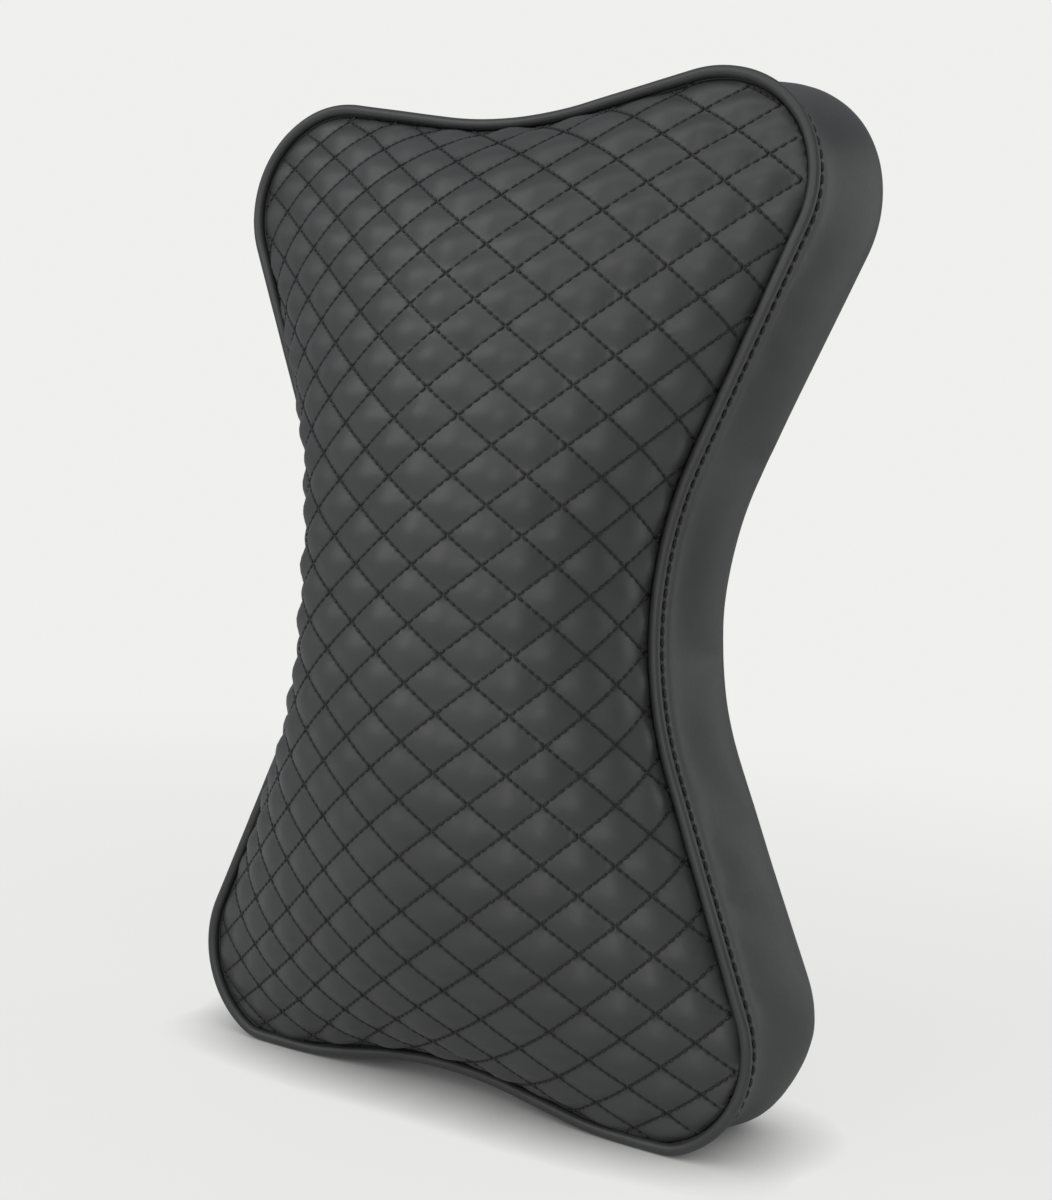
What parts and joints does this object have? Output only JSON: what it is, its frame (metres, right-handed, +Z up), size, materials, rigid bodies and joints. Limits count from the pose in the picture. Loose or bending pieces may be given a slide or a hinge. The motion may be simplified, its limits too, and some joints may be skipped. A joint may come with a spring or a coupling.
{
  "type": "car neck pillow",
  "caption": "Bone-shaped car neck pillow with a quilted crowned face, piped front seam, plain side band, flat back and headrest strap.",
  "frame": {"origin": "on the surface that the pillow stands on, under the middle of its width and of its thickness", "axes": "+Z up along the pillow's length, +X across its width, +Y from the quilted face to the flat back"},
  "size_m": [0.1892, 0.0862, 0.2937],
  "materials": {
    "quilted_leather": "soft satin black, fine grain, quilted in diamonds with black thread",
    "piping_leather": "soft satin black",
    "band_leather": "soft satin black, smooth",
    "back_leather": "soft satin black, smooth",
    "elastic_webbing": "matt ribbed elastic webbing",
    "memory_foam": "matt cream open-cell foam, hidden by the cover"
  },
  "bodies": {
    "root": {"front_panel": "quilted_leather", "front_piping": "piping_leather", "side_band": "band_leather", "back_panel": "back_leather", "headrest_strap": "elastic_webbing", "foam_core": "memory_foam"}
  },
  "joints": []
}
